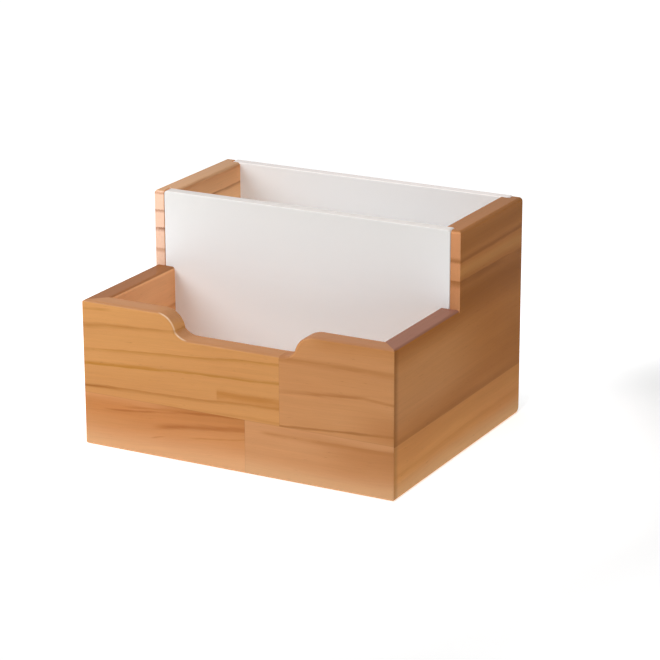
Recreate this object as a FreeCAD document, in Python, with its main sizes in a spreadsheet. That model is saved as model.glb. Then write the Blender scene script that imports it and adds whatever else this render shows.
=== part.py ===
import FreeCAD, Part
import math
import os
import re
import Sketcher

# Stepped desk organizer, in millimetres.
# Two pine sides and a scooped pine front are mitred together.
# White boards make the back, the bottom and the divider.
# The origin is at the centre of the base. +X is to the right, +Y to the back and +Z up.

# Each driving size: its name in the sheet, its value and what it is.
SIZES = (
    ("overall_width", 180.0, "outside width across both sides"),
    ("overall_depth", 150.0, "outside depth, front face to back face"),
    ("overall_height", 120.0, "height of the rear compartment"),
    ("front_height", 78.6, "height of the front tray"),
    ("tray_depth", 73.0, "front face to the step and the divider"),
    ("board_thickness", 11.5, "thickness of the pine boards"),
    ("edge_round", 1.8, "round-over on the pine boards' edges"),
    ("corner_round", 0.8, "easing of the mitred corners"),
    ("heel_radius", 3.5, "rounded lower back corner of a side"),
    ("crown_radius", 2.5, "rounded upper back corner of a side"),
    ("scoop_depth", 12.8, "depth of the scoop below the front's top edge"),
    ("scoop_mouth", 68.3, "width of the scoop between its two kinks"),
    ("shoulder_drop", 9.5, "depth of a kink below the front's top edge"),
    ("shoulder_radius", 11.6, "radius of the scoop's convex shoulders"),
    ("valley_radius", 9.8, "radius of the scoop's concave corners"),
    ("kink_round", 0.5, "small radius left in each kink"),
    ("panel_thickness", 6.0, "thickness of the white boards"),
    ("panel_corner", 1.6, "rounded top corners of the upright white boards"),
    ("panel_ease", 0.5, "eased long edges at the top of the white boards"),
    ("groove_depth", 6.0, "depth of the grooves and rebates in the pine"),
    ("groove_play", 0.2, "extra width of the divider's grooves"),
    ("panel_play", 0.3, "gap round the edges of a white board"),
    ("base_lift", 1.0, "height of the white boards above the base"),
    ("overrun", 2.0, "how far a cutting outline runs past the wood"),
)

# Formulas that several pieces share, in the sizes' names.
HALF_WIDTH = "overall_width / 2"
HALF_DEPTH = "overall_depth / 2"
RIM = "(board_thickness - groove_depth)"
PANEL_HALF_WIDTH = "(overall_width / 2 - board_thickness + groove_depth - panel_play)"
DECK = "(base_lift + panel_thickness)"
PAST_BOARD = "(board_thickness + overrun)"
MITRE_TIP = "(corner_round - corner_round / sqrt(2))"

# The scoop, from the middle of the front outwards.
SCOOP_FLOOR = "(front_height - scoop_depth)"
KINK_HEIGHT = "(front_height - shoulder_drop)"
KINK_PLACE = "(scoop_mouth / 2)"
SHOULDER_REACH = "sqrt(shoulder_radius^2 - (shoulder_radius - shoulder_drop)^2)"
VALLEY_REACH = "sqrt(valley_radius^2 - (valley_radius - scoop_depth + shoulder_drop)^2)"
SHOULDER_START = "(" + KINK_PLACE + " + " + SHOULDER_REACH + ")"
VALLEY_END = "(" + KINK_PLACE + " - " + VALLEY_REACH + ")"

# The turn of an arc in an outline that runs anticlockwise.
CONVEX = 1
CONCAVE = -1

TOLERANCE = 1e-4

doc = FreeCAD.newDocument("desk_organizer")
sheet = doc.addObject("Spreadsheet::Sheet", "Sizes")
for row, (alias, value, meaning) in enumerate(SIZES, start=1):
    sheet.set("A%d" % row, alias)
    sheet.set("B%d" % row, str(value))
    sheet.set("C%d" % row, meaning)
    sheet.setAlias("B%d" % row, alias)
doc.recompute()

SIZE_NAME = re.compile("|".join(r"\b%s\b" % alias for alias, value, meaning in SIZES))


def bound(formula):
    """Writes a formula of sizes as an expression that reads them from the sheet."""
    return SIZE_NAME.sub(lambda name: "Sizes." + name.group(), formula)


def measure(formula):
    """Works out a formula of sizes as a plain number."""
    return float(sheet.evalExpression(bound(formula)))


def new_body(label):
    """Starts a board with its own name."""
    body = doc.addObject("PartDesign::Body", label)
    body.Label = label
    return body


def new_sketch(body, plane, name):
    """Adds a sketch on one of the body's own origin planes."""
    sketch = body.newObject("Sketcher::SketchObject", name)
    origin_plane = next(item for item in body.Origin.OriginFeatures if item.Role == plane)
    sketch.AttachmentSupport = [(origin_plane, "")]
    sketch.MapMode = "FlatFace"
    return sketch


def tie_point(sketch, curve, end, corner):
    """Ties one end of a curve to its place, measured from the sketch's origin."""
    for kind, formula in zip(("DistanceX", "DistanceY"), corner):
        tie = Sketcher.Constraint(kind, -1, 1, curve, end, measure(formula))
        sketch.setExpression("Constraints[%d]" % sketch.addConstraint(tie), bound(formula))


def arc_between(start, finish, radius, turn):
    """Makes the shorter arc between two points of an outline."""
    chord = finish - start
    rise = math.sqrt(radius * radius - chord.Length * chord.Length / 4)
    across = FreeCAD.Vector(-chord.y, chord.x, 0).normalize()
    centre = (start + finish) / 2 + across * rise * turn
    ends = (start, finish) if turn == CONVEX else (finish, start)
    angles = [math.atan2(point.y - centre.y, point.x - centre.x) for point in ends]
    circle = Part.Circle(centre, FreeCAD.Vector(0, 0, 1), radius)
    return Part.ArcOfCircle(circle, angles[0], angles[1])


def draw_outline(sketch, corners, arcs=None):
    """Draws one closed anticlockwise outline through corners given as pairs of formulas.

    arcs gives the radius and the turn of the sides that are arcs, by the side's first corner.
    """
    arcs = arcs or {}
    points = [FreeCAD.Vector(measure(x), measure(y), 0) for x, y in corners]
    sides = []
    for index, start in enumerate(points):
        finish = points[(index + 1) % len(points)]
        first, last = 1, 2
        if index in arcs:
            radius, turn = arcs[index]
            curve = sketch.addGeometry(arc_between(start, finish, measure(radius), turn))
            limit = sketch.addConstraint(Sketcher.Constraint("Radius", curve, measure(radius)))
            sketch.setExpression("Constraints[%d]" % limit, bound(radius))
            if turn == CONCAVE:
                first, last = 2, 1
        else:
            curve = sketch.addGeometry(Part.LineSegment(start, finish))
        sides.append((curve, first, last))
    for index, (curve, first, last) in enumerate(sides):
        previous, previous_first, previous_last = sides[index - 1]
        join = Sketcher.Constraint("Coincident", previous, previous_last, curve, first)
        sketch.addConstraint(join)
        tie_point(sketch, curve, first, corners[index])


def draw_block(sketch, low, high):
    """Draws a rectangle between two opposite corners."""
    draw_outline(sketch, [low, (high[0], low[1]), high, (low[0], high[1])])


def pad(body, sketch, name, length, reverse=False):
    """Raises a sketch into the board's first solid."""
    feature = body.newObject("PartDesign::Pad", name)
    feature.Profile = sketch
    feature.setExpression("Length", bound(length))
    feature.Reversed = reverse
    sketch.Visibility = False
    doc.recompute()
    return feature


def cut_through(body, sketch, name):
    """Cuts a sketch right through the board, both ways from the sketch's plane."""
    volume_before = body.Shape.Volume
    feature = body.newObject("PartDesign::Pocket", name)
    feature.Profile = sketch
    feature.Type = "ThroughAll"
    feature.SideType = "Symmetric"
    sketch.Visibility = False
    doc.recompute()
    if feature.Shape.Volume >= volume_before:
        raise RuntimeError(name + " removes nothing")


def round_edges(body, feature, name, radius, wanted):
    """Rounds over the edges whose bounding box passes a test."""
    edges = enumerate(feature.Shape.Edges, start=1)
    fillet = body.newObject("PartDesign::Fillet", name)
    fillet.Base = (feature, ["Edge%d" % number for number, edge in edges if wanted(edge.BoundBox)])
    fillet.setExpression("Radius", bound(radius))
    doc.recompute()
    return fillet


def level(low, high, place):
    """Tells whether both limits of a box lie at one place."""
    return abs(low - place) < TOLERANCE and abs(high - place) < TOLERANCE


def set_down(body, x, y, z):
    """Puts a board in its place in the organizer."""
    for axis, formula in (("x", x), ("y", y), ("z", z)):
        body.setExpression("Placement.Base." + axis, bound(formula))


def make_left_side():
    """The left side, a stepped pine board, with X inwards, Y back and Z up from its front foot."""
    body = new_body("left_side")
    profile = new_sketch(body, "YZ_Plane", "side_profile")
    outline = [
        ("0", "0"),
        ("overall_depth - heel_radius", "0"),
        ("overall_depth", "heel_radius"),
        ("overall_depth", "overall_height - crown_radius"),
        ("overall_depth - crown_radius", "overall_height"),
        ("tray_depth", "overall_height"),
        ("tray_depth", "front_height"),
        ("0", "front_height"),
    ]
    draw_outline(profile, outline, {1: ("heel_radius", CONVEX), 3: ("crown_radius", CONVEX)})
    board = pad(body, profile, "side_board", "board_thickness")
    thickness = measure("board_thickness")
    step = measure("tray_depth")
    ledge = measure("front_height")
    top = measure("overall_height")

    def rounded(box):
        outer = level(box.XMin, box.XMax, 0)
        inner = level(box.XMin, box.XMax, thickness)
        ends_front = level(box.YMin, box.YMax, 0)
        along_top = level(box.ZMin, box.ZMax, top) or level(box.ZMin, box.ZMax, ledge)
        if level(box.YMin, box.YMax, step):
            return level(box.ZMin, box.ZMax, top)
        return (outer and not ends_front) or (inner and along_top)

    round_edges(body, board, "side_round_over", "edge_round", rounded)

    groove = new_sketch(body, "XY_Plane", "divider_groove_outline")
    groove_back = "tray_depth + panel_thickness + groove_play"
    draw_block(groove, (RIM, "tray_depth"), (PAST_BOARD, groove_back))
    cut_through(body, groove, "divider_groove")

    rebate = new_sketch(body, "XY_Plane", "back_rebate_outline")
    rebate_front = "overall_depth - panel_thickness"
    draw_block(rebate, (RIM, rebate_front), (PAST_BOARD, "overall_depth + overrun"))
    cut_through(body, rebate, "back_rebate")

    underside = new_sketch(body, "XZ_Plane", "bottom_rebate_outline")
    draw_block(underside, (RIM, "-overrun"), (PAST_BOARD, DECK))
    cut_through(body, underside, "bottom_rebate")

    mitre = new_sketch(body, "XY_Plane", "mitre_outline")
    waste = [
        ("-overrun", "-overrun"),
        (PAST_BOARD, "-overrun"),
        (PAST_BOARD, PAST_BOARD),
        (MITRE_TIP, MITRE_TIP),
        ("0", "corner_round"),
        ("-overrun", "corner_round"),
    ]
    draw_outline(mitre, waste, {3: ("corner_round", CONCAVE)})
    cut_through(body, mitre, "front_mitre")
    set_down(body, "-" + HALF_WIDTH, "-" + HALF_DEPTH, "0")
    return body


def mirror_side(side):
    """The right side mirrors the left one across the organizer's middle plane."""
    mirrored = doc.addObject("Part::Mirroring", "right_side")
    mirrored.Label = "right_side"
    mirrored.Source = side
    mirrored.Normal = FreeCAD.Vector(1, 0, 0)
    doc.recompute()
    return mirrored


def make_front():
    """The front, a pine board with a scooped top edge, with Y back from its outer face."""
    body = new_body("front_panel")
    profile = new_sketch(body, "XZ_Plane", "front_profile")
    right_half = [
        (HALF_WIDTH, "0"),
        (HALF_WIDTH, "front_height"),
        (SHOULDER_START, "front_height"),
        (KINK_PLACE, KINK_HEIGHT),
        (VALLEY_END, SCOOP_FLOOR),
    ]
    left_half = [("-" + x, z) for x, z in reversed(right_half)]
    shoulder = ("shoulder_radius", CONVEX)
    valley = ("valley_radius", CONCAVE)
    draw_outline(profile, right_half + left_half, {2: shoulder, 3: valley, 5: valley, 6: shoulder})
    board = pad(body, profile, "front_board", "board_thickness", reverse=True)
    thickness = measure("board_thickness")
    half_width = measure(HALF_WIDTH)
    floor = measure(SCOOP_FLOOR)
    kink = measure(KINK_PLACE)

    def kinked(box):
        return level(box.XMin, box.XMax, kink) or level(box.XMin, box.XMax, -kink)

    eased = round_edges(body, board, "kink_round_over", "kink_round", kinked)

    def rounded(box):
        front = level(box.YMin, box.YMax, 0)
        rear = level(box.YMin, box.YMax, thickness)
        at_end = level(box.XMin, box.XMax, half_width) or level(box.XMin, box.XMax, -half_width)
        along_top = box.ZMin > floor - TOLERANCE and not at_end
        return (front or rear) and along_top or front and level(box.ZMin, box.ZMax, 0)

    round_edges(body, eased, "front_round_over", "edge_round", rounded)

    underside = new_sketch(body, "YZ_Plane", "bottom_rebate_outline")
    draw_block(underside, (RIM, "-overrun"), (PAST_BOARD, DECK))
    cut_through(body, underside, "bottom_rebate")

    right_waste = [
        (HALF_WIDTH + " - corner_round", "0"),
        (HALF_WIDTH + " - corner_round", "-overrun"),
        (HALF_WIDTH + " + overrun", "-overrun"),
        (HALF_WIDTH + " + overrun", PAST_BOARD),
        (HALF_WIDTH + " - " + PAST_BOARD, PAST_BOARD),
        (HALF_WIDTH + " - " + MITRE_TIP, MITRE_TIP),
    ]
    left_waste = [("-(" + x + ")", y) for x, y in reversed(right_waste)]
    for end, waste in (("right", right_waste), ("left", left_waste)):
        mitre = new_sketch(body, "XY_Plane", end + "_mitre_outline")
        draw_outline(mitre, waste, {5: ("corner_round", CONCAVE)})
        cut_through(body, mitre, end + "_mitre")
    set_down(body, "0", "-" + HALF_DEPTH, "0")
    return body


def make_upright_panel(label, front_face, foot):
    """An upright white board with rounded top corners and eased top edges."""
    body = new_body(label)
    height = "(overall_height - " + foot + ")"
    profile = new_sketch(body, "XZ_Plane", label + "_profile")
    outline = [
        ("-" + PANEL_HALF_WIDTH, "0"),
        (PANEL_HALF_WIDTH, "0"),
        (PANEL_HALF_WIDTH, height + " - panel_corner"),
        (PANEL_HALF_WIDTH + " - panel_corner", height),
        ("-" + PANEL_HALF_WIDTH + " + panel_corner", height),
        ("-" + PANEL_HALF_WIDTH, height + " - panel_corner"),
    ]
    corner = ("panel_corner", CONVEX)
    draw_outline(profile, outline, {2: corner, 4: corner})
    board = pad(body, profile, label + "_board", "panel_thickness", reverse=True)
    top = measure(height)

    def eased(box):
        return level(box.ZMin, box.ZMax, top) and box.YLength < TOLERANCE

    round_edges(body, board, label + "_ease", "panel_ease", eased)
    set_down(body, "0", front_face, foot)
    return body


def make_bottom():
    """The bottom, a white board in the rebates that reaches back to the back board."""
    body = new_body("bottom_panel")
    outline = new_sketch(body, "XY_Plane", "bottom_outline")
    length = "overall_depth - " + RIM + " - panel_thickness - 2 * panel_play"
    draw_block(outline, ("-" + PANEL_HALF_WIDTH, "0"), (PANEL_HALF_WIDTH, length))
    pad(body, outline, "bottom_board", "panel_thickness")
    set_down(body, "0", "-" + HALF_DEPTH + " + " + RIM + " + panel_play", "base_lift")
    return body


left_side = make_left_side()
pieces = [
    left_side,
    mirror_side(left_side),
    make_front(),
    make_upright_panel("divider_panel", "-" + HALF_DEPTH + " + tray_depth", DECK),
    make_upright_panel("back_panel", HALF_DEPTH + " - panel_thickness", "base_lift"),
    make_bottom(),
]
doc.recompute()

for item in doc.Objects:
    if "Invalid" in item.State or "Error" in item.State:
        raise RuntimeError("%s did not build: %s" % (item.Label, item.State))
for piece in pieces:
    if piece.Shape.isNull() or not piece.Shape.isValid():
        raise RuntimeError(piece.Label + " has no valid shape")
    if len(piece.Shape.Solids) != 1:
        raise RuntimeError(piece.Label + " is not one solid")

os.makedirs("parts", exist_ok=True)
for piece in pieces:
    piece.Shape.exportStep(os.path.join("parts", piece.Label + ".step"))
    print("%s: %.1f cubic mm" % (piece.Label, piece.Shape.Volume))
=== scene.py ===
import logging
import math
from dataclasses import dataclass
from enum import Enum
from typing import Any, Optional, Union

import bmesh
import bpy
from mathutils import Euler, Matrix, Vector


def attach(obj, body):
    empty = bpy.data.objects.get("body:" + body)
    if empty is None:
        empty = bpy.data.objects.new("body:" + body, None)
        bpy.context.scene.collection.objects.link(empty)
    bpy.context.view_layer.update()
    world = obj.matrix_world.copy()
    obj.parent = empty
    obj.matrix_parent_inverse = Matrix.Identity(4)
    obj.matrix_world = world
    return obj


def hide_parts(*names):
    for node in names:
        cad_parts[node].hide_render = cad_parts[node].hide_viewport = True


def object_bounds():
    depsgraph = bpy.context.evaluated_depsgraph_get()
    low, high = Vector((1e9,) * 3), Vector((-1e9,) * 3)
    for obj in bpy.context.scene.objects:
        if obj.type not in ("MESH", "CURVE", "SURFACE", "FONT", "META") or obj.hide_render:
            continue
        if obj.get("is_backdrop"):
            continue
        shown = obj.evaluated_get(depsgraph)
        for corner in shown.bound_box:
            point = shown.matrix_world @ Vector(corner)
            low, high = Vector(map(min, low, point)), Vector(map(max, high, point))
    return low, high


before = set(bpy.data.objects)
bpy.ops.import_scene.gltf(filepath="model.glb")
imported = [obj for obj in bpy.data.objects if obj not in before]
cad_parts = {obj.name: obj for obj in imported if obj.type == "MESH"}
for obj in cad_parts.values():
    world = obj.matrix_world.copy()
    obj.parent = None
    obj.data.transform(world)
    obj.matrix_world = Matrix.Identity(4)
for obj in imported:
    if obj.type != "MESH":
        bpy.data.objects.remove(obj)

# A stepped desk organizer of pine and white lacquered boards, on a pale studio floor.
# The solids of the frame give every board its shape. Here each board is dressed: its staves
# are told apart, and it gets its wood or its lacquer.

LOG = logging.getLogger("organizer")
MM = 0.001

# Vertices nearer than WELD_MM become one, faces that meet at less than FLAT_DEGREES become
# one, and an edge that turns by more than SHARP_DEGREES stays sharp.
WELD_MM = 0.001
FLAT_DEGREES = 0.2
SHARP_DEGREES = 32.0

# How far away, in mm, the end of a stave is taken to be where no other stave is glued to it.
ENDLESS = 1000.0

# Nearly all of a noise lies between the low and the high value. Times the gain, it swings by
# nearly 1 to each side of its middle.
NOISE_LOW = 0.3
NOISE_HIGH = 0.7
NOISE_GAIN = 4.0

# How far a seed of 1 moves a noise along each of its axes, in spots.
SEED_STEPS = (3.7, 1.9, 2.3)

Colour = tuple[float, float, float, float]
Socket = bpy.types.NodeSocket
Limit = tuple[Socket, float, float]


def linear(hex_colour: str) -> Colour:
    """Turns an sRGB hex colour into the linear colour that shaders take.

    Args:
        hex_colour: Six hex digits, such as "d79b6e".

    Returns:
        Red, green, blue and an alpha of 1, all linear.
    """
    parts = [int(hex_colour[place:place + 2], 16) / 255 for place in (0, 2, 4)]
    red, green, blue = [
        part / 12.92 if part <= 0.04045 else ((part + 0.055) / 1.055) ** 2.4 for part in parts
    ]
    return red, green, blue, 1.0


def add_node(
    tree: bpy.types.NodeTree,
    kind: str,
    inputs: Optional[dict[Union[str, int], Any]] = None,
    **settings: Any,
) -> bpy.types.Node:
    """Adds a node with its settings and links.

    Args:
        tree: The node tree that takes the node.
        kind: The node's type, such as "ShaderNodeMath".
        inputs: What each input gets, by its name or number: a socket to link or a value.
        settings: The node's own properties.

    Returns:
        The new node.
    """
    node = tree.nodes.new(kind)
    for name, value in settings.items():
        setattr(node, name, value)
    for key, value in (inputs or {}).items():
        if isinstance(value, Socket):
            tree.links.new(value, node.inputs[key])
        else:
            node.inputs[key].default_value = value
    return node


def lay_tone(
    tree: bpy.types.NodeTree, tone: Socket, over: str, strength: float, limits: list[Limit]
) -> Socket:
    """Lays another tone over a tone, as far as all its limits allow.

    Args:
        tree: The node tree.
        tone: The tone so far.
        over: The tone that is laid over it, as sRGB hex.
        strength: How much of it shows at most.
        limits: Each one a measure, where the new tone starts in it and where it is full.

    Returns:
        The new tone.
    """
    amount: Union[Socket, float] = strength
    for measure, start, full in limits:
        share = add_node(
            tree,
            "ShaderNodeMapRange",
            {"Value": measure, "From Min": start, "From Max": full},
            interpolation_type="SMOOTHSTEP",
        )
        amount = add_node(
            tree, "ShaderNodeMath", {0: share.outputs[0], 1: amount}, operation="MULTIPLY"
        ).outputs[0]
    return add_node(
        tree,
        "ShaderNodeMix",
        {"Factor": amount, "A": tone, "B": linear(over)},
        data_type="RGBA",
    ).outputs["Result"]


def shade_tone(
    tree: bpy.types.NodeTree,
    tone: Socket,
    measure: Socket,
    start: tuple[float, float],
    end: tuple[float, float],
) -> Socket:
    """Darkens or lightens a tone by a measure.

    Args:
        tree: The node tree.
        tone: The tone so far.
        measure: What the change follows.
        start: A value of the measure and what the tone is multiplied by there.
        end: Another value of it and what the tone is multiplied by there.

    Returns:
        The new tone.
    """
    share = add_node(
        tree,
        "ShaderNodeMapRange",
        {
            "Value": measure,
            "From Min": start[0],
            "From Max": end[0],
            "To Min": start[1],
            "To Max": end[1],
        },
    )
    return add_node(
        tree, "ShaderNodeVectorMath", {0: tone, "Scale": share.outputs[0]}, operation="SCALE"
    ).outputs[0]


class Grain(Enum):
    """The axis that a board's grain runs along, as the order of axes: along, through, up."""

    ALONG_WIDTH = ("X", "Y", "Z")
    ALONG_DEPTH = ("Y", "X", "Z")


class Accent(Enum):
    """A part of a stave that takes a tone of its own, some of them painted light or shade: how
    strong the tone is, and its limits.

    Each limit names a measure, where the tone starts in it and where it is full. "along" and
    "up" are places on the board in mm. "right", "back" and "upward" are how far the surface
    faces that way, from -1 to 1.
    """

    # The top edges round the tray, below the step. Their darker, greyer tone is partly edge grain
    # taking the coat differently and partly painted shade and sheen on faces that look up.
    LEDGE = (0.8, (("upward", 0.35, 0.8), ("up", 100.0, 90.0)))
    # The top edges of the rear compartment. Their darker tone is partly edge grain taking the coat
    # differently and partly painted shade and sheen on faces that look up.
    CROWN = (0.8, (("upward", 0.1, 0.6), ("up", 100.0, 110.0)))
    # The end grain that faces forward at the step.
    STEP_END = (0.8, (("back", -0.6, -0.9),))
    # A strip of a side's outer face beside its mitre, darkened as the shade of the rounded corner:
    # painted shade.
    MITRED_END = (0.6, (("along", -69.5, -74.5), ("right", 0.3, 0.7)))
    # The front's eased arris where it turns down into the scoop, made paler where it faces the
    # light: a painted highlight.
    ARRIS_HIGHLIGHT = (
        0.4,
        (("back", -0.88, -0.72), ("back", -0.4, -0.58), ("right", 0.05, 0.25)),
    )


@dataclass(frozen=True)
class Line:
    """A line or band that shows on a stave, mostly growth; a few bands are painted light. Lengths
    are in mm, the tone is sRGB hex.

    Each place is how far along the grain and how far up the board it is. The band fades over
    the width named below under its line and over the width named above past it, and from its
    ends over the lengths fade_in and fade_out.
    """

    start: tuple[float, float]
    end: tuple[float, float]
    tone: str
    strength: float
    below: float = 2.8
    above: float = 1.2
    fade_in: float = 0.0
    fade_out: float = 0.0


@dataclass(frozen=True)
class Stave:
    """One stave of an edge-glued pine board, cut from its own place in a log.

    Lengths are in mm and tones are sRGB hex values. It has an early tone, that of its earlywood,
    and a warmer blush in long patches. The along and up limits are where it lies in its board;
    an end that is glued to another stave has a number, and a free end is endless. The slope is
    how much its grain rises along the board. The face is where the board's outer face lies, and
    the pith, the rings' middle, lies a little behind that and far below. The accents are the
    parts with tones of their own. The seed shifts its patterns, so that no two staves match.
    """

    name: str
    early: str
    blush: str
    lines: tuple[Line, ...]
    along: tuple[float, float] = (-ENDLESS, ENDLESS)
    up: tuple[float, float] = (-ENDLESS, ENDLESS)
    slope: float = 0.0
    face: float = 0.0
    pith_depth: float = 8.0
    pith_below: float = 160.0
    accents: tuple[tuple[Accent, str], ...] = ()
    seed: float = 0.0

    def holds(self, along: float, up: float) -> bool:
        """Tells whether a place on the board lies in this stave."""
        return self.along[0] < along < self.along[1] and self.up[0] < up < self.up[1]


@dataclass(frozen=True)
class Pattern:
    """A noise whose spots follow the grain. Their length and width are in mm.

    The detail is how much finer noise is laid over it, the roughness is how strong that is, and
    the shift keeps the patterns of one stave apart.
    """

    length: float
    width: float
    detail: float
    shift: float
    roughness: float = 0.55

    def noise(self, tree: bpy.types.NodeTree, place: Socket, stave: Stave) -> Socket:
        """Makes the pattern's noise on a stave.

        Args:
            tree: The node tree.
            place: The place on the board in mm, with X along the grain.
            stave: The stave, whose seed shifts the noise.

        Returns:
            The noise, from 0 to 1 and mostly near a half.
        """
        stretched = add_node(
            tree,
            "ShaderNodeMapping",
            {
                "Vector": place,
                "Location": tuple((stave.seed + self.shift) * step for step in SEED_STEPS),
                "Scale": (1 / self.length, 1 / self.width, 1 / self.width),
            },
        )
        return add_node(
            tree,
            "ShaderNodeTexNoise",
            {
                "Vector": stretched.outputs[0],
                "Scale": 1.0,
                "Detail": self.detail,
                "Roughness": self.roughness,
            },
        ).outputs["Fac"]


@dataclass(frozen=True)
class SatinPine:
    """Edge-glued pine, planed, sanded and finished with a thin satin clear coat.

    It gives soft bands of darker latewood that follow the grain, fine fibres, short dark lines
    where resin canals are cut, a hairline at each glued joint, and a gleam at low angles. The
    gleam comes from the coat alone, with a varnish's usual IOR of 1.5. Lengths are in mm. Fibres
    are about 0.04 mm wide, so they are drawn ten times coarser to show.

    The heights are how far waves and ripples shift the lines, the swings are how much a pattern
    changes the tone or the roughness to each side, and the shades are what the darkest places
    are multiplied by. Lines with a fade wider than wide_band are even bands, and the others fade
    to the faded share.
    """

    fibres: Pattern = Pattern(30.0, 0.45, detail=3.0, shift=0.0)
    streaks: Pattern = Pattern(120.0, 2.6, detail=2.0, shift=13.0)
    resin_canals: Pattern = Pattern(6.0, 0.3, detail=1.0, shift=17.0)
    patches: Pattern = Pattern(80.0, 18.0, detail=2.0, shift=11.0)
    waves: Pattern = Pattern(70.0, 28.0, detail=1.0, shift=5.0)
    ripples: Pattern = Pattern(14.0, 0.9, detail=2.0, shift=7.0)
    fading: Pattern = Pattern(34.0, 5.0, detail=2.0, shift=19.0)
    wave_height: float = 0.9
    ripple_height: float = 0.35
    fibre_swing: float = 0.035
    streak_swing: float = 0.025
    resin_limits: tuple[float, float] = (0.7, 0.79)
    resin_shade: float = 0.8
    fading_limits: tuple[float, float] = (0.3, 0.55)
    faded_share: float = 0.42
    wide_band: float = 9.0
    glue_line: float = 0.28
    glue_shade: float = 0.86
    fibre_relief: float = 0.03
    relief_strength: float = 0.2
    roughness: float = 0.42
    roughness_swing: float = 0.04
    gloss: float = 0.0
    coat: float = 0.16
    coat_roughness: float = 0.13

    def material(self, stave: Stave, grain: Grain) -> bpy.types.Material:
        """Makes the material of one stave.

        Wide bands lie under the stave's accents, and narrow lines lie over them and fade here
        and there.

        Args:
            stave: The stave's place, tones and lines.
            grain: The way that the grain runs.

        Returns:
            The material.
        """
        material = bpy.data.materials.new("satin_pine_" + stave.name)
        material.use_nodes = True
        tree = material.node_tree
        tree.nodes.clear()
        place = self.place(tree, grain)
        along, through, up = add_node(tree, "ShaderNodeSeparateXYZ", {0: place}).outputs
        level = self.level(tree, place, through, up, stave)
        upright = add_node(
            tree, "ShaderNodeMath", {0: along, 1: -stave.slope, 2: level}, operation="MULTIPLY_ADD"
        )
        turned = add_node(
            tree, "ShaderNodeCombineXYZ", {"X": along, "Y": through, "Z": upright.outputs[0]}
        ).outputs[0]
        tone = self.ground(tree, turned, stave)
        fading = add_node(
            tree,
            "ShaderNodeMapRange",
            {
                "Value": self.fading.noise(tree, turned, stave),
                "From Min": self.fading_limits[0],
                "From Max": self.fading_limits[1],
                "To Min": self.faded_share,
            },
        ).outputs[0]
        bands = [line for line in stave.lines if line.below + line.above > self.wide_band]
        for band in bands:
            tone = self.line(tree, tone, along, level, None, band)
        tone = self.accents(tree, tone, along, up, stave)
        for line in stave.lines:
            if line not in bands:
                tone = self.line(tree, tone, along, level, fading, line)
        fibres = self.fibres.noise(tree, turned, stave)
        tone = self.marks(tree, tone, turned, fibres, stave)
        tone = self.glue(tree, tone, along, up, stave)
        self.surface(tree, tone, fibres)
        return material

    def place(self, tree: bpy.types.NodeTree, grain: Grain) -> Socket:
        """Finds the place on the board.

        Args:
            tree: The node tree.
            grain: The way that the grain runs.

        Returns:
            The place in mm, with X along the grain, Y through the board and Z up.
        """
        point = add_node(tree, "ShaderNodeTexCoord").outputs["Object"]
        scaled = add_node(
            tree, "ShaderNodeVectorMath", {0: point, "Scale": 1 / MM}, operation="SCALE"
        )
        axes = add_node(tree, "ShaderNodeSeparateXYZ", {0: scaled.outputs[0]})
        along, through, up = (axes.outputs[name] for name in grain.value)
        return add_node(
            tree, "ShaderNodeCombineXYZ", {"X": along, "Y": through, "Z": up}
        ).outputs[0]

    def level(
        self,
        tree: bpy.types.NodeTree,
        place: Socket,
        through: Socket,
        up: Socket,
        stave: Stave,
    ) -> Socket:
        """Gives the height at which the growth ring through a point meets the board's face.

        Args:
            tree: The node tree.
            place: The place on the board in mm.
            through: The part of it through the board.
            up: The part of it up the board.
            stave: The stave, whose pith lies below the board and a little behind its face.

        Returns:
            The height in mm, with the ring's waves and ripples.
        """
        height = up
        for pattern, swing in (
            (self.waves, self.wave_height),
            (self.ripples, self.ripple_height),
        ):
            height = add_node(
                tree,
                "ShaderNodeMath",
                {0: pattern.noise(tree, place, stave), 1: swing * NOISE_GAIN, 2: height},
                operation="MULTIPLY_ADD",
            ).outputs[0]
        depth = add_node(
            tree,
            "ShaderNodeMath",
            {0: through, 1: stave.face + math.copysign(stave.pith_depth, -stave.face)},
            operation="SUBTRACT",
        )
        square = add_node(
            tree, "ShaderNodeMath", {0: depth.outputs[0], 1: 2.0}, operation="POWER"
        )
        bend = 0.5 / stave.pith_below
        bent = add_node(
            tree,
            "ShaderNodeMath",
            {0: square.outputs[0], 1: bend, 2: height},
            operation="MULTIPLY_ADD",
        )
        middle = (self.wave_height + self.ripple_height) * NOISE_GAIN / 2
        middle += stave.pith_depth**2 * bend
        return add_node(
            tree, "ShaderNodeMath", {0: bent.outputs[0], 1: middle}, operation="SUBTRACT"
        ).outputs[0]

    def ground(self, tree: bpy.types.NodeTree, turned: Socket, stave: Stave) -> Socket:
        """Mixes the stave's earlywood tone with its warmer one in long patches.

        Args:
            tree: The node tree.
            turned: The place on the board in mm, turned with the grain.
            stave: The stave.

        Returns:
            The tone.
        """
        share = add_node(
            tree,
            "ShaderNodeMapRange",
            {
                "Value": self.patches.noise(tree, turned, stave),
                "From Min": NOISE_LOW,
                "From Max": NOISE_HIGH,
            },
        )
        return add_node(
            tree,
            "ShaderNodeMix",
            {"Factor": share.outputs[0], "A": linear(stave.early), "B": linear(stave.blush)},
            data_type="RGBA",
        ).outputs["Result"]

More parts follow.
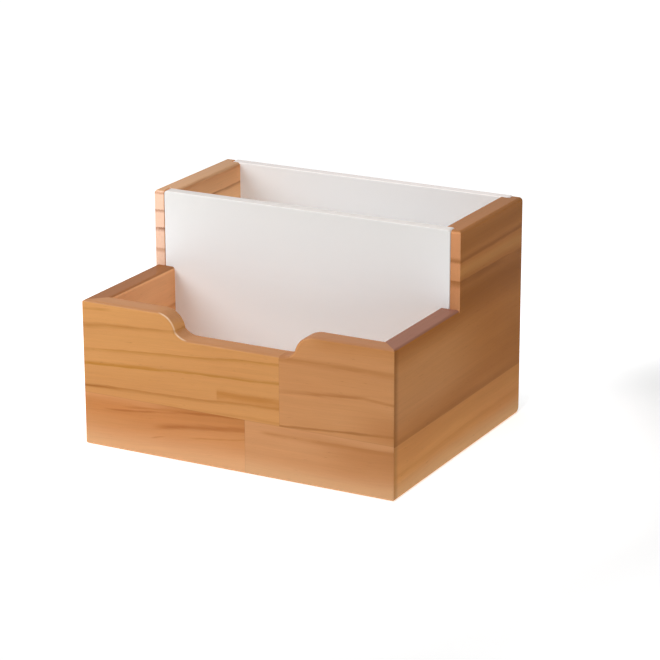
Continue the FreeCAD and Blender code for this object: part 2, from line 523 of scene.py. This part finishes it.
    def line(
        self,
        tree: bpy.types.NodeTree,
        tone: Socket,
        along: Socket,
        level: Socket,
        fading: Optional[Socket],
        line: Line,
    ) -> Socket:
        """Lays one growth line over the tone.

        Args:
            tree: The node tree.
            tone: The tone so far.
            along: How far along the grain a point is, in mm.
            level: The height of the growth ring through it, in mm.
            fading: How strongly the stave's lines show there, or none for an even one.
            line: The line.

        Returns:
            The new tone.
        """
        middle = add_node(
            tree,
            "ShaderNodeMapRange",
            {
                "Value": along,
                "From Min": line.start[0],
                "From Max": line.end[0],
                "To Min": line.start[1],
                "To Max": line.end[1],
            },
            clamp=False,
        )
        off = add_node(
            tree, "ShaderNodeMath", {0: level, 1: middle.outputs[0]}, operation="SUBTRACT"
        ).outputs[0]
        limits = [(off, -line.below, 0.0), (off, line.above, 0.0)]
        if line.fade_in:
            limits.append((along, line.start[0], line.start[0] + line.fade_in))
        if line.fade_out:
            limits.append((along, line.end[0], line.end[0] - line.fade_out))
        if fading is not None:
            limits.append((fading, 0.0, 1.0))
        return lay_tone(tree, tone, line.tone, line.strength, limits)

    def accents(
        self,
        tree: bpy.types.NodeTree,
        tone: Socket,
        along: Socket,
        up: Socket,
        stave: Stave,
    ) -> Socket:
        """Tones the parts of the stave that have a tone of their own, some of it painted light or
        shade.

        Args:
            tree: The node tree.
            tone: The tone so far.
            along: How far along the board a point is, in mm.
            up: How far up the board a point is, in mm.
            stave: The stave, which names its accents.

        Returns:
            The new tone.
        """
        normal = add_node(tree, "ShaderNodeNewGeometry").outputs["Normal"]
        right, back, upward = add_node(tree, "ShaderNodeSeparateXYZ", {0: normal}).outputs
        measures = {"along": along, "up": up, "right": right, "back": back, "upward": upward}
        for accent, over in stave.accents:
            strength, limits = accent.value
            placed = [(measures[name], start, full) for name, start, full in limits]
            tone = lay_tone(tree, tone, over, strength, placed)
        return tone

    def marks(
        self,
        tree: bpy.types.NodeTree,
        tone: Socket,
        turned: Socket,
        fibres: Socket,
        stave: Stave,
    ) -> Socket:
        """Darkens and lightens the tone by its fibres, wider streaks and resin canals.

        Args:
            tree: The node tree.
            tone: The tone so far.
            turned: The place on the board in mm, turned with the grain.
            fibres: The noise of the fibres.
            stave: The stave.

        Returns:
            The new tone.
        """
        for noise, swing in (
            (fibres, self.fibre_swing),
            (self.streaks.noise(tree, turned, stave), self.streak_swing),
        ):
            tone = shade_tone(
                tree, tone, noise, (NOISE_LOW, 1.0 - swing), (NOISE_HIGH, 1.0 + swing)
            )
        canals = self.resin_canals.noise(tree, turned, stave)
        clear, dark = self.resin_limits
        return shade_tone(tree, tone, canals, (clear, 1.0), (dark, self.resin_shade))

    def glue(
        self,
        tree: bpy.types.NodeTree,
        tone: Socket,
        along: Socket,
        up: Socket,
        stave: Stave,
    ) -> Socket:
        """Darkens the wood in a hairline along each glued edge of the stave.

        Args:
            tree: The node tree.
            tone: The tone so far.
            along: How far along the board a point is, in mm.
            up: How far up the board a point is, in mm.
            stave: The stave.

        Returns:
            The new tone.
        """
        edges = [(along, limit) for limit in stave.along] + [(up, limit) for limit in stave.up]
        for place, limit in edges:
            if abs(limit) == ENDLESS:
                continue
            off = add_node(
                tree, "ShaderNodeMath", {0: place, 1: limit}, operation="SUBTRACT"
            ).outputs[0]
            gap = add_node(tree, "ShaderNodeMath", {0: off}, operation="ABSOLUTE").outputs[0]
            tone = shade_tone(tree, tone, gap, (0.0, self.glue_shade), (self.glue_line, 1.0))
        return tone

    def surface(self, tree: bpy.types.NodeTree, tone: Socket, fibres: Socket) -> None:
        """Ends the material: a satin coat over wood whose fibres stand a little proud.

        Args:
            tree: The node tree.
            tone: The wood's tone.
            fibres: The noise of the fibres.
        """
        bump = add_node(
            tree,
            "ShaderNodeBump",
            {
                "Height": fibres,
                "Strength": self.relief_strength,
                "Distance": self.fibre_relief * MM,
            },
        )
        dullness = add_node(
            tree,
            "ShaderNodeMapRange",
            {
                "Value": fibres,
                "From Min": NOISE_LOW,
                "From Max": NOISE_HIGH,
                "To Min": self.roughness + self.roughness_swing,
                "To Max": self.roughness - self.roughness_swing,
            },
        )
        shader = add_node(
            tree,
            "ShaderNodeBsdfPrincipled",
            {
                "Base Color": tone,
                "Roughness": dullness.outputs[0],
                "Specular IOR Level": self.gloss,
                "Coat Weight": self.coat,
                "Coat Roughness": self.coat_roughness,
                "Normal": bump.outputs[0],
            },
        )
        add_node(tree, "ShaderNodeOutputMaterial", {"Surface": shader.outputs[0]})


@dataclass(frozen=True)
class WhiteLacquer:
    """Fibreboard sprayed with matt white lacquer.

    It gives a nearly even white with a faint sprayed orange-peel texture and a very dull gleam,
    with a lacquer's usual IOR of 1.5. Toward the top of a board it takes a greyer tint, painted
    shade that evens out the stronger light falling there, and the top edges take a slightly
    warmer, darker one, painted warm bounce light and shade. The height limits are where the
    greyer tint starts and where it is full, and the edge limits are how far the surface faces up
    there. Lengths are in mm and tones are sRGB hex values.
    """

    white: str = "fcfeff"
    shade: str = "fafdff"
    painted_top_shade: str = "ffffff"
    painted_top_shade_limits: tuple[float, float] = (80.0, 118.0)
    edge: str = "f7efec"
    edge_limits: tuple[float, float] = (0.2, 0.8)
    patch_size: float = 60.0
    peel_size: float = 1.4
    peel_relief: float = 0.02
    relief_strength: float = 0.15
    roughness: float = 0.5

    def material(self, name: str) -> bpy.types.Material:
        """Makes the lacquer's material.

        Args:
            name: The material's name.

        Returns:
            The material.
        """
        material = bpy.data.materials.new(name)
        material.use_nodes = True
        tree = material.node_tree
        tree.nodes.clear()
        point = add_node(tree, "ShaderNodeTexCoord").outputs["Object"]
        patches = add_node(
            tree,
            "ShaderNodeTexNoise",
            {"Vector": point, "Scale": 1 / (self.patch_size * MM), "Detail": 2.0},
        )
        tone = add_node(
            tree,
            "ShaderNodeMix",
            {
                "Factor": patches.outputs["Fac"],
                "A": linear(self.white),
                "B": linear(self.shade),
            },
            data_type="RGBA",
        ).outputs["Result"]
        lowest, highest = (limit * MM for limit in self.painted_top_shade_limits)
        normal = add_node(tree, "ShaderNodeNewGeometry").outputs["Normal"]
        # Toward the top the tint is painted shade, and on up-facing edges it is painted warm bounce
        # light and shade.
        for vector, start, full, tint in (
            (point, lowest, highest, self.painted_top_shade),
            (normal, *self.edge_limits, self.edge),
        ):
            upward = add_node(tree, "ShaderNodeSeparateXYZ", {0: vector}).outputs["Z"]
            share = add_node(
                tree,
                "ShaderNodeMapRange",
                {"Value": upward, "From Min": start, "From Max": full},
            )
            tone = add_node(
                tree,
                "ShaderNodeMix",
                {"Factor": share.outputs[0], "A": tone, "B": linear(tint)},
                data_type="RGBA",
                blend_type="MULTIPLY",
            ).outputs["Result"]
        peel = add_node(
            tree,
            "ShaderNodeTexNoise",
            {"Vector": point, "Scale": 1 / (self.peel_size * MM), "Detail": 1.0},
        )
        bump = add_node(
            tree,
            "ShaderNodeBump",
            {
                "Height": peel.outputs["Fac"],
                "Strength": self.relief_strength,
                "Distance": self.peel_relief * MM,
            },
        )
        shader = add_node(
            tree,
            "ShaderNodeBsdfPrincipled",
            {"Base Color": tone, "Roughness": self.roughness, "Normal": bump.outputs[0]},
        )
        add_node(tree, "ShaderNodeOutputMaterial", {"Surface": shader.outputs[0]})
        return material


@dataclass(frozen=True)
class LitAcrylic:
    """Matt white acrylic sheet that is lit a little from below.

    It gives a pale, even ground. The glow is weaker in a ring round the organizer, where it would
    lay a veil over the wood, and stronger behind it, to its right and far from it, where the
    lights reach less. The limits are where each change starts and where it is full. The ring and
    far limits are distances from the middle, and the behind and beside limits are measured by
    what the ways let X, Y and Z count for. Lengths are in mm and tones are sRGB hex values.
    """

    white: str = "f2f2f2"
    roughness: float = 0.9
    light: str = "ffffff"
    glow_close: float = 0.58
    glow_ring: float = 0.3
    glow_outside: float = 0.9
    ring_limits: tuple[float, float] = (140.0, 240.0)
    behind_way: tuple[float, float, float] = (-1.2, 1.0, 0.0)
    behind_limits: tuple[float, float] = (-30.0, 130.0)
    beside_way: tuple[float, float, float] = (1.0, -0.2, 0.0)
    beside_limits: tuple[float, float] = (220.0, 420.0)
    far_limits: tuple[float, float] = (340.0, 700.0)

    def material(self, name: str) -> bpy.types.Material:
        """Makes the acrylic's material.

        Args:
            name: The material's name.

        Returns:
            The material.
        """
        material = bpy.data.materials.new(name)
        material.use_nodes = True
        tree = material.node_tree
        tree.nodes.clear()
        point = add_node(tree, "ShaderNodeTexCoord").outputs["Object"]
        reach = add_node(
            tree, "ShaderNodeVectorMath", {0: point}, operation="LENGTH"
        ).outputs["Value"]
        behind, beside = [
            add_node(
                tree, "ShaderNodeVectorMath", {0: point, 1: way}, operation="DOT_PRODUCT"
            ).outputs["Value"]
            for way in (self.behind_way, self.beside_way)
        ]
        glow: Union[Socket, float] = self.glow_close
        for measure, (start, full), strength in (
            (reach, self.ring_limits, self.glow_ring),
            (behind, self.behind_limits, self.glow_outside),
            (beside, self.beside_limits, self.glow_outside),
            (reach, self.far_limits, self.glow_outside),
        ):
            share = add_node(
                tree,
                "ShaderNodeMapRange",
                {"Value": measure, "From Min": start * MM, "From Max": full * MM},
                interpolation_type="SMOOTHSTEP",
            )
            glow = add_node(
                tree, "ShaderNodeMix", {"Factor": share.outputs[0], "A": glow, "B": strength}
            ).outputs["Result"]
        shader = add_node(
            tree,
            "ShaderNodeBsdfPrincipled",
            {
                "Base Color": linear(self.white),
                "Roughness": self.roughness,
                "Emission Color": linear(self.light),
                "Emission Strength": glow,
            },
        )
        add_node(tree, "ShaderNodeOutputMaterial", {"Surface": shader.outputs[0]})
        return material


@dataclass
class Board:
    """A board of the organizer, dressed from its solid in the frame."""

    node: str
    slot: str

    def copy_solid(self) -> bmesh.types.BMesh:
        """Copies the board's solid and joins its loose triangles into whole faces.

        Returns:
            The copy, which has to be freed.
        """
        mesh = bmesh.new()
        mesh.from_mesh(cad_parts[self.node].data)
        bmesh.ops.remove_doubles(mesh, verts=mesh.verts, dist=WELD_MM * MM)
        bmesh.ops.dissolve_limit(
            mesh,
            angle_limit=math.radians(FLAT_DEGREES),
            verts=mesh.verts,
            edges=mesh.edges,
        )
        return mesh

    def finish(self, mesh: bmesh.types.BMesh, materials: list[bpy.types.Material]) -> None:
        """Turns the dressed mesh into a piece that stands for the board's solid.

        Args:
            mesh: The dressed mesh, which is freed.
            materials: Its materials, in the order of the faces' indices.
        """
        for face in mesh.faces:
            face.smooth = True
        for edge in mesh.edges:
            edge.smooth = edge.calc_face_angle(math.pi) < math.radians(SHARP_DEGREES)
        data = bpy.data.meshes.new(self.node + "_dressed")
        mesh.to_mesh(data)
        mesh.free()
        for material in materials:
            data.materials.append(material)
        piece = bpy.data.objects.new(self.node + "_dressed", data)
        bpy.context.scene.collection.objects.link(piece)
        weighted = piece.modifiers.new("flat_faces_stay_flat", "WEIGHTED_NORMAL")
        weighted.keep_sharp = True
        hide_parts(self.node)
        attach(piece, "root")
        LOG.info("%s: %d faces, %d finishes", self.node, len(data.polygons), len(materials))


@dataclass
class PineBoard(Board):
    """An edge-glued pine board: rows of staves, some of them butted end to end."""

    grain: Grain
    staves: tuple[Stave, ...]

    def build(self) -> None:
        """Builds the board, with a cut in its mesh along every glued edge."""
        mesh = self.copy_solid()
        along_axis, _, up_axis = ["XYZ".index(axis) for axis in self.grain.value]
        cuts = {(up_axis, limit) for stave in self.staves for limit in stave.up}
        cuts |= {(along_axis, limit) for stave in self.staves for limit in stave.along}
        for axis, limit in sorted(cut for cut in cuts if abs(cut[1]) < ENDLESS):
            normal = Vector((0, 0, 0))
            normal[axis] = 1.0
            bmesh.ops.bisect_plane(
                mesh,
                geom=[*mesh.verts, *mesh.edges, *mesh.faces],
                plane_co=normal * limit * MM,
                plane_no=normal,
                dist=WELD_MM * MM,
            )
        for face in mesh.faces:
            centre = face.calc_center_median() / MM
            face.material_index = next(
                index
                for index, stave in enumerate(self.staves)
                if stave.holds(centre[along_axis], centre[up_axis])
            )
        pine = SatinPine()
        self.finish(mesh, [pine.material(stave, self.grain) for stave in self.staves])


@dataclass
class WhiteBoard(Board):
    """A white board: the divider, the back or the bottom."""

    lacquer: WhiteLacquer = WhiteLacquer()

    def build(self) -> None:
        """Builds the board."""
        self.finish(self.copy_solid(), [self.lacquer.material("white_" + self.node)])


@dataclass(frozen=True)
class SoftLight:
    """A square soft light. Lengths are in mm, the power is in watts."""

    name: str
    place: tuple[float, float, float]
    aim: tuple[float, float, float]
    size: float
    power: float

    def hang(self) -> None:
        """Hangs the light."""
        data = bpy.data.lights.new(self.name, "AREA")
        data.shape = "SQUARE"
        data.size = self.size * MM
        data.energy = self.power
        lamp = bpy.data.objects.new(self.name, data)
        place = Vector(self.place)
        turn = (Vector(self.aim) - place).to_track_quat("-Z", "Y")
        lamp.matrix_world = Matrix.Translation(place * MM) @ turn.to_matrix().to_4x4()
        lamp.visible_camera = False
        bpy.context.scene.collection.objects.link(lamp)


@dataclass
class Studio:
    """A pale floor, soft lights and the camera. Lengths are in mm and angles in degrees."""

    azimuth: float = 28.183
    elevation: float = 17.86
    roll: float = -0.168
    distance: float = 1404.74
    target: tuple[float, float, float] = (3.75, 19.97, 49.13)
    focal_length: float = 144.37
    sensor_width: float = 36.0
    floor_size: float = 20000.0
    room_colour: str = "ffffff"
    room_light: float = 0.02
    lights: tuple[SoftLight, ...] = (
        SoftLight("key", (-244, -244, 289), (0, -40, 60), 240, 0.9),
        SoftLight("high_side", (143, -205, 433), (60, -60, 40), 260, 0.546),
        SoftLight("spark", (120, -215, 400), (30, -40, 60), 50, 0.3497),
        SoftLight("rear", (-620, 1180, 520), (0, 0, 100), 600, 1.26),
        SoftLight("over", (70, 30, 550), (0, 20, 0), 320, 0.8925),
    )

    def build(self) -> None:
        """Builds the floor, the lights and the camera."""
        self.floor()
        self.room()
        for light in self.lights:
            light.hang()
        self.camera()
        bpy.context.scene.view_settings.view_transform = "Standard"

    def floor(self) -> None:
        """Lays the floor."""
        mesh = bmesh.new()
        bmesh.ops.create_grid(mesh, x_segments=1, y_segments=1, size=self.floor_size / 2 * MM)
        data = bpy.data.meshes.new("floor")
        mesh.to_mesh(data)
        mesh.free()
        data.materials.append(LitAcrylic().material("lit_white_acrylic"))
        floor = bpy.data.objects.new("floor", data)
        bpy.context.scene.collection.objects.link(floor)
        floor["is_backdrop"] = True

    def room(self) -> None:
        """Sets the even light of the room."""
        world = bpy.data.worlds.new("room")
        world.use_nodes = True
        background = world.node_tree.nodes["Background"]
        background.inputs["Color"].default_value = linear(self.room_colour)
        background.inputs["Strength"].default_value = self.room_light
        bpy.context.scene.world = world

    def camera(self) -> None:
        """Sets up the camera at the photograph's viewing angle."""
        data = bpy.data.cameras.new("camera")
        data.lens = self.focal_length
        data.sensor_width = self.sensor_width
        data.sensor_fit = "HORIZONTAL"
        camera = bpy.data.objects.new("camera", data)
        turn = Euler(
            (math.radians(90 - self.elevation), 0.0, math.radians(self.azimuth)), "XYZ"
        ).to_matrix()
        turn = turn @ Matrix.Rotation(math.radians(self.roll), 3, "Z")
        place = Vector(self.target) * MM + turn @ Vector((0, 0, self.distance * MM))
        camera.matrix_world = Matrix.Translation(place) @ turn.to_4x4()
        bpy.context.scene.collection.objects.link(camera)
        bpy.context.scene.camera = camera


# Where the staves are glued together and where the boards' outer faces lie, in mm.
FRONT_ROW_JOINT = 29.0
FRONT_UPPER_JOINT = 25.8
FRONT_LOWER_JOINT = 5.8
SIDE_ROW_JOINT = 28.5
OUTER_FACE = 90.0
FRONT_FACE = -75.0

FRONT_STAVES = (
    Stave(
        name="front_upper_left",
        along=(-ENDLESS, FRONT_UPPER_JOINT),
        up=(FRONT_ROW_JOINT, ENDLESS),
        early="c99056",
        blush="c38951",
        lines=(
            Line((-90, 74.0), (-70, 75.8), "a36c2c", 0.4, below=1.2, above=0.8, fade_out=8),
            Line((-90, 65.4), (-34, 70.2), "a46c32", 0.5, below=2.6, above=0.6),
            Line((-90, 53.2), (26, 61.2), "a56d2c", 0.55, below=2.2, above=0.5),
            Line((-90, 45.2), (26, 51.2), "a56e24", 0.62, below=0.8, above=1.6),
            Line((-90, 45.6), (-42, 48.6), "b17529", 0.45, below=1.6, above=1.6, fade_out=10),
            Line((-90, 66.4), (-50, 69.0), "aa6f33", 0.4, below=2.0, above=1.0, fade_out=14),
            Line((-90, 33.0), (-60, 34.4), "955923", 0.8, below=1.2, above=1.4, fade_out=24),
            Line((-90, 33.2), (26, 38.6), "a0652c", 0.5, below=2.0, above=0.8),
            Line((-11, 40.8), (26, 41.6), "ae7032", 0.72, below=5.5, above=3.0, fade_in=1.2),
            Line((-60, 30.2), (26, 30.6), "ab7038", 0.35, below=1.8, above=1.4, fade_in=30),
        ),
        slope=0.05,
        face=FRONT_FACE,
        # The arris accent here is a painted highlight.
        accents=((Accent.LEDGE, "a97855"), (Accent.ARRIS_HIGHLIGHT, "f4dfc4")),
        seed=1.0,
    ),
    Stave(
        name="front_upper_right",
        along=(FRONT_UPPER_JOINT, ENDLESS),
        up=(FRONT_ROW_JOINT, ENDLESS),
        early="c28a59",
        blush="bd8453",
        lines=(
            Line((26, 64.6), (90, 65.6), "a06736", 0.5, below=3.2, above=2.4),
            Line((26, 47.0), (78, 51.8), "9b6032", 0.6, below=1.2, above=2.2, fade_out=10),
            Line((70, 51.2), (90, 50.2), "9b6032", 0.5, below=1.4, above=1.6, fade_in=8),
            Line((26, 30.0), (90, 33.4), "8f5827", 0.65, below=1.2, above=1.0),
            Line((40, 78.0), (90, 78.0), "aa6f3a", 0.5, below=9.0, above=3.0, fade_in=14),
            Line((58, 33.0), (90, 33.0), "9f612e", 0.45, below=8.0, above=18.0, fade_in=32),
        ),
        slope=0.04,
        face=FRONT_FACE,
        accents=((Accent.LEDGE, "a47455"),),
        seed=2.0,
    ),
    Stave(
        name="front_lower_left",
        along=(-ENDLESS, FRONT_LOWER_JOINT),
        up=(-ENDLESS, FRONT_ROW_JOINT),
        early="c88d5a",
        blush="c38553",
        lines=(
            Line((-80, 21.4), (-20, 27.9), "9e5c2c", 0.7, below=1.4, above=0.8, fade_in=10),
            Line((-70, 24.6), (6, 29.4), "a3622e", 0.6, below=0.8, above=1.6, fade_in=14),
            Line((-52, 29.0), (6, 29.0), "a76934", 0.7, below=8.0, above=4.0, fade_in=26),
            Line((-52, 16.3), (6, 23.4), "a15f2d", 0.75, below=2.0, above=2.6, fade_in=14),
            Line((-30, 12.6), (6, 18.0), "af703b", 0.5, below=0.6, above=1.0, fade_in=10),
            Line(
                (-51, 10.2), (-40, 12.6), "a76537", 0.4, below=0.6, above=0.5, fade_in=3, fade_out=4
            ),
            Line((-90, 22.0), (6, 24.0), "ba773f", 0.6, below=11.0, above=8.0),
            Line((-90, 25.0), (-50, 26.0), "b7733e", 0.35, below=9.0, above=4.0, fade_out=20),
            # A pale band along the foot: painted light bounced up from the floor.
            Line((-90, 1.0), (6, 1.0), "d9a97d", 0.75, below=8.0, above=14.0),
        ),
        slope=0.07,
        face=FRONT_FACE,
        seed=3.0,
    ),
    Stave(
        name="front_lower_right",
        along=(FRONT_LOWER_JOINT, ENDLESS),
        up=(-ENDLESS, FRONT_ROW_JOINT),
        early="c79061",
        blush="bf8657",
        lines=(
            Line((12, 24.0), (90, 25.4), "a06636", 0.45, below=2.0, above=1.2, fade_in=8),
            Line((34, 24.0), (90, 24.0), "a86b37", 0.55, below=20.0, above=4.0, fade_in=40),
            # A pale band along the foot: painted light bounced up from the floor.
            Line((6, 1.0), (90, 1.0), "d8ac81", 0.7, below=8.0, above=12.0),
        ),
        slope=0.03,
        face=FRONT_FACE,
        seed=4.0,
    ),
)

RIGHT_STAVES = (
    Stave(
        name="right_upper",
        up=(SIDE_ROW_JOINT, ENDLESS),
        early="b9773b",
        blush="b17035",
        lines=(
            Line((-80, 98.0), (80, 98.4), "cb9554", 0.35, below=5.0, above=4.5),
            Line((-80, 112.0), (80, 112.6), "975d23", 0.65, below=9.0, above=14.0),
            Line((-80, 103.4), (80, 104.6), "88501d", 0.6, below=1.6, above=3.0),
            Line((-80, 84.0), (80, 84.5), "90551d", 0.7, below=18.0, above=9.0),
            Line((-80, 92.6), (80, 93.0), "804a1a", 0.6, below=5.0, above=0.9),
            # Two pale bands that fade toward the back: painted light on the front part of the face.
            Line((-80, 63.5), (40, 64.0), "d1965f", 0.5, below=20.0, above=14.0, fade_out=70),
            Line((-80, 46.0), (40, 47.0), "d1965f", 0.5, below=17.0, above=20.0, fade_out=70),
            Line((-80, 29.6), (80, 29.6), "8c5b24", 0.3, below=1.4, above=4.0, fade_out=50),
        ),
        slope=0.007,
        face=OUTER_FACE,
        accents=(
            (Accent.LEDGE, "896359"),
            (Accent.CROWN, "a16f49"),
            (Accent.STEP_END, "d3966a"),
            (Accent.MITRED_END, "83501f"),
        ),
        seed=6.0,
    ),
    Stave(
        name="right_lower",
        up=(-ENDLESS, SIDE_ROW_JOINT),
        early="d89652",
        blush="d18c4c",
        lines=(
            Line((-80, 28.5), (80, 28.5), "bf7c3d", 0.65, below=16.0),
            Line((-80, 13.0), (80, 15.0), "c07c3d", 0.3, below=2.4, above=1.4),
            # A pale band along the foot: painted light bounced up from the floor.
            Line((-80, 1.0), (80, 1.0), "e8bb87", 0.65, below=8.0, above=12.0),
        ),
        slope=0.01,
        face=OUTER_FACE,
        accents=((Accent.MITRED_END, "a06c38"),),
        seed=7.0,
    ),
)

LEFT_STAVES = (
    Stave(
        name="left_upper",
        up=(SIDE_ROW_JOINT, ENDLESS),
        # This stave's tones are lighter than the wood elsewhere, partly to stand in for light on
        # its inner faces: painted light.
        early="ecad7a",
        blush="e6a26e",
        lines=(
            Line((-80, 118.2), (80, 118.8), "b37344", 0.55, below=1.4, above=0.7),
            Line((-80, 108.4), (80, 109.6), "a66237", 0.65, below=1.8, above=0.8),
            Line((-80, 98.6), (80, 99.8), "8c4f2d", 0.8, below=2.6, above=0.5),
            Line((-80, 87.2), (80, 88.0), "b47347", 0.55),
            Line((-80, 57.0), (80, 58.5), "c17b47", 0.5),
            Line((-80, 41.0), (80, 42.5), "c17b47", 0.5, below=4.0),
            # A broad pale band toward the back: painted light on the inner wall of the rear
            # compartment.
            Line((0, 100.0), (80, 100.0), "fdc590", 0.9, below=26.0, above=21.0, fade_in=14),
        ),
        slope=0.01,
        face=-OUTER_FACE,
        accents=(
            (Accent.LEDGE, "723f1d"),
            (Accent.CROWN, "c29874"),
            (Accent.STEP_END, "f3d0ba"),
        ),
        seed=8.0,
    ),
    Stave(
        name="left_lower",
        up=(-ENDLESS, SIDE_ROW_JOINT),
        early="d99961",
        blush="d28f56",
        lines=(
            Line((-80, 20.0), (80, 22.0), "b8743f", 0.5),
            Line((-80, 9.0), (80, 11.0), "b8743f", 0.4),
        ),
        slope=0.012,
        face=-OUTER_FACE,
        seed=9.0,
    ),
)


def main(solid_box: tuple[Vector, Vector]) -> None:
    """Builds the boards and the studio in order.

    Args:
        solid_box: The box of the frame as it was loaded. It is not used.
    """
    logging.basicConfig(level=logging.INFO, format="%(name)s: %(message)s")
    Studio().build()
    PineBoard("front_panel", "pine", Grain.ALONG_WIDTH, FRONT_STAVES).build()
    PineBoard("left_side", "pine", Grain.ALONG_DEPTH, LEFT_STAVES).build()
    PineBoard("right_side", "pine", Grain.ALONG_DEPTH, RIGHT_STAVES).build()
    # The tints toward the tops of the divider and the back are painted shade.
    WhiteBoard("divider_panel", "white_board", WhiteLacquer(painted_top_shade="e3e1de")).build()
    WhiteBoard("back_panel", "white_board", WhiteLacquer(painted_top_shade="fefbf9")).build()
    WhiteBoard("bottom_panel", "white_board").build()


if __name__ == "__main__":
    main(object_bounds())
